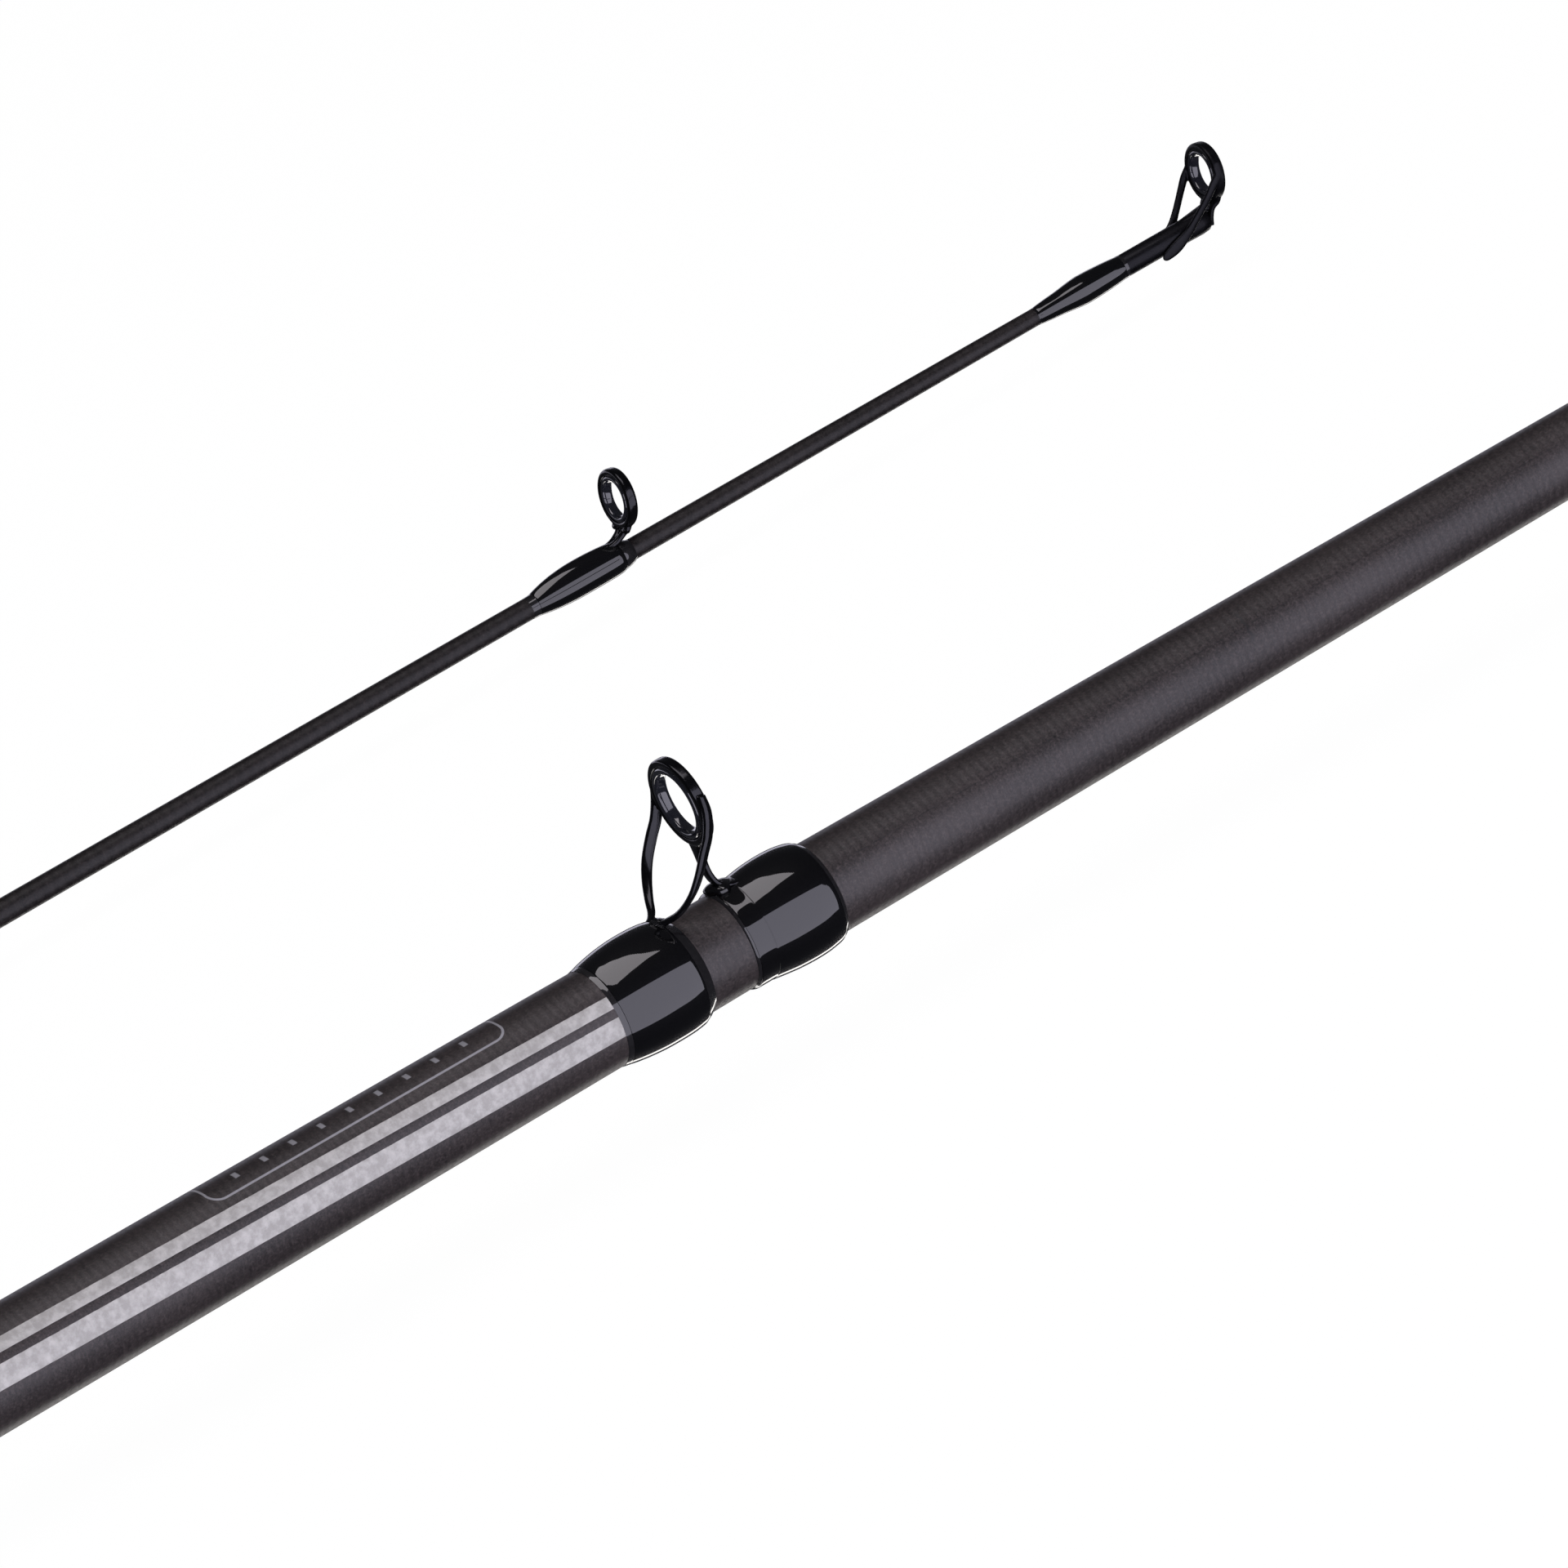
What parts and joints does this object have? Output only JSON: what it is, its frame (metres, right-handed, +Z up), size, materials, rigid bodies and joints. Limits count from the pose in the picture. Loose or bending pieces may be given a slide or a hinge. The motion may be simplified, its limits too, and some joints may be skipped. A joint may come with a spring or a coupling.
{
  "type": "spinning rod",
  "caption": "Two-piece spinning rod: a handled butt section with reel seat and first guide, and a tip section with ringed guides, lying side by side.",
  "frame": {"origin": "centre of the butt cap's flat end, on the butt section's axis", "axes": "+X along both sections towards the tip, +Z up through the guides and the reel seat's deck, +Y from the butt section to the tip section"},
  "size_m": [1.1001, 0.1441, 0.035],
  "materials": {
    "blank": "satin",
    "wrap": "gloss",
    "foam": "matte",
    "rubber": "matte",
    "arbor": "matte",
    "trim": "satin",
    "seat": "satin",
    "guide_metal": "satin",
    "ceramic": "gloss"
  },
  "bodies": {
    "butt_section": {"butt_cap": "rubber", "butt_ring": "trim", "butt_grip": "foam", "butt_check": "trim", "mid_wrap": "wrap", "butt_blank": "blank", "rear_check": "trim", "rear_grip": "foam", "rear_arbor": "arbor", "front_arbor": "arbor", "reel_seat": "seat", "fixed_hood": "trim", "fore_grip": "foam", "fore_check": "trim", "hook_keeper": "guide_metal", "keeper_rear_wrap": "wrap", "keeper_front_wrap": "wrap", "first_guide_frame": "guide_metal", "first_guide_ring": "ceramic", "first_guide_rear_wrap": "wrap", "first_guide_front_wrap": "wrap"},
    "hood": {"sliding_hood": "trim", "hood_liner": "rubber"},
    "nut": {"lock_nut": "seat"},
    "tip_section": {"ferrule_sleeve": "blank", "tip_blank": "blank", "guide_1_frame": "guide_metal", "guide_1_ring": "ceramic", "guide_1_wrap": "wrap", "guide_2_frame": "guide_metal", "guide_2_ring": "ceramic", "guide_2_wrap": "wrap", "guide_3_frame": "guide_metal", "guide_3_ring": "ceramic", "guide_3_wrap": "wrap", "guide_4_frame": "guide_metal", "guide_4_ring": "ceramic", "guide_4_wrap": "wrap", "guide_5_frame": "guide_metal", "guide_5_ring": "ceramic", "guide_5_wrap": "wrap", "guide_6_frame": "guide_metal", "guide_6_ring": "ceramic", "guide_6_wrap": "wrap", "guide_7_frame": "guide_metal", "guide_7_ring": "ceramic", "guide_7_wrap": "wrap", "tiptop_tube": "guide_metal", "tiptop_frame": "guide_metal", "tiptop_ring": "ceramic", "tiptop_wrap": "wrap"}
  },
  "joints": [
    {"name": "hood_slide", "type": "slide", "parent": "butt_section", "child": "hood", "axis": [1, 0, 0], "range_m": [-0.0121, 0.0121]},
    {"name": "nut_turn", "type": "hinge", "parent": "hood", "child": "nut", "pos_m": [0.37, 0, 0], "axis": [1, 0, 0], "range_deg": [-2160, 2160]},
    {"name": "tip_carry", "type": "slide", "parent": "butt_section", "child": "tip_section", "axis": [0.9946, -0.1037, 0.0077], "range_m": [0, 1.2009]}
  ],
  "couplings": [
    {"joint": "hood_slide", "follows": "nut_turn", "m_per_rad": 0.00031831}
  ]
}
